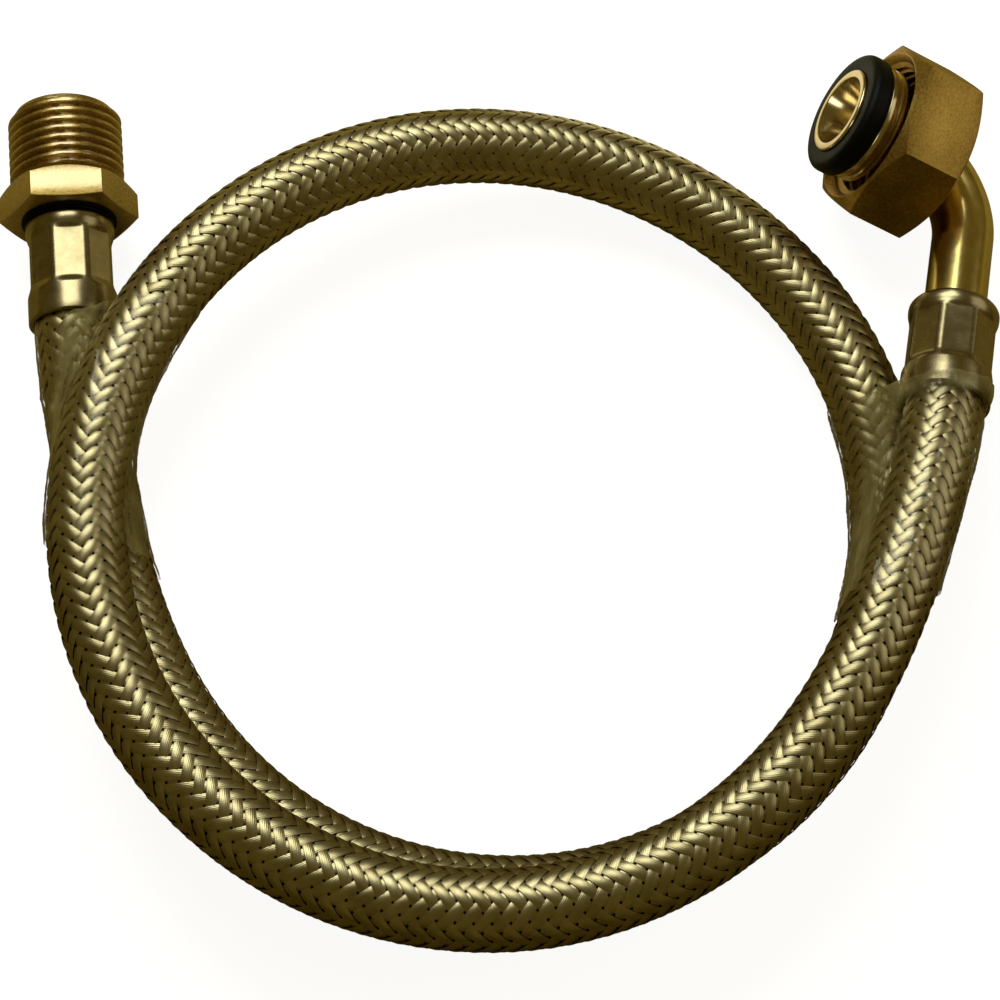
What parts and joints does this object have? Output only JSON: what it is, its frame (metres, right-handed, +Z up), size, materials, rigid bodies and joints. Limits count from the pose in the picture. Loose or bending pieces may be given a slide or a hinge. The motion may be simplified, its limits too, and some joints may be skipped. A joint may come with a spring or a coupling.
{
  "type": "braided supply hose",
  "caption": "Coiled stainless-braided supply hose tied with clear film, with a male threaded end and a bent-tube elbow end carrying a swivel nut.",
  "frame": {"origin": "middle of the bounding box footprint, on the surface the coil lies on", "axes": "+Z up from the surface the coil lies on, +X from the male end's side toward the elbow end's side, +Y the way both ends point"},
  "size_m": [0.183, 0.1676, 0.0341],
  "materials": {
    "steel_braid": "satin",
    "steel_sleeve": "satin",
    "brass": "satin",
    "brass_bright": "polished",
    "rubber_black": "matte",
    "rubber_liner": "matte",
    "clear_film": "glossy"
  },
  "bodies": {
    "coil": {"coil_braid": "steel_braid", "coil_liner": "rubber_liner", "left_film_wrap": "clear_film", "right_film_wrap": "clear_film"},
    "male_end": {"male_end_braid": "steel_braid", "male_end_liner": "rubber_liner", "male_ferrule": "steel_sleeve", "male_neck_ring": "rubber_black", "male_connector": "brass"},
    "elbow_end": {"elbow_end_braid": "steel_braid", "elbow_end_liner": "rubber_liner", "elbow_ferrule": "steel_sleeve", "elbow_insert": "brass", "elbow_tube": "brass_bright", "seal_nipple": "brass_bright", "seal_ring": "rubber_black"},
    "slip_ring": {"slip_ring": "brass_bright"},
    "union_nut": {"union_nut": "brass"}
  },
  "joints": [
    {"name": "male_end_swing", "type": "hinge", "parent": "coil", "child": "male_end", "pos_m": [-0.07395, 0.01549, 0.00917], "axis": [0, 0, 1], "range_deg": [-4, 7], "stiffness_Nm_per_rad": 0.3, "deforming": ["male_end_braid", "male_end_liner", "left_film_wrap"]},
    {"name": "elbow_end_swing", "type": "hinge", "parent": "coil", "child": "elbow_end", "pos_m": [0.07587, 0.00005, 0.02092], "axis": [0, 0, 1], "range_deg": [-7, 4], "stiffness_Nm_per_rad": 0.3, "deforming": ["elbow_end_braid", "elbow_end_liner", "right_film_wrap"]},
    {"name": "nut_slide", "type": "slide", "parent": "elbow_end", "child": "slip_ring", "axis": [-0.8697, 0.2376, 0.4327], "range_m": [0, 0.0087]},
    {"name": "nut_spin", "type": "hinge", "parent": "slip_ring", "child": "union_nut", "pos_m": [0.07476, 0.06616, 0.01738], "axis": [-0.8697, 0.2376, 0.4327], "continuous": true}
  ]
}
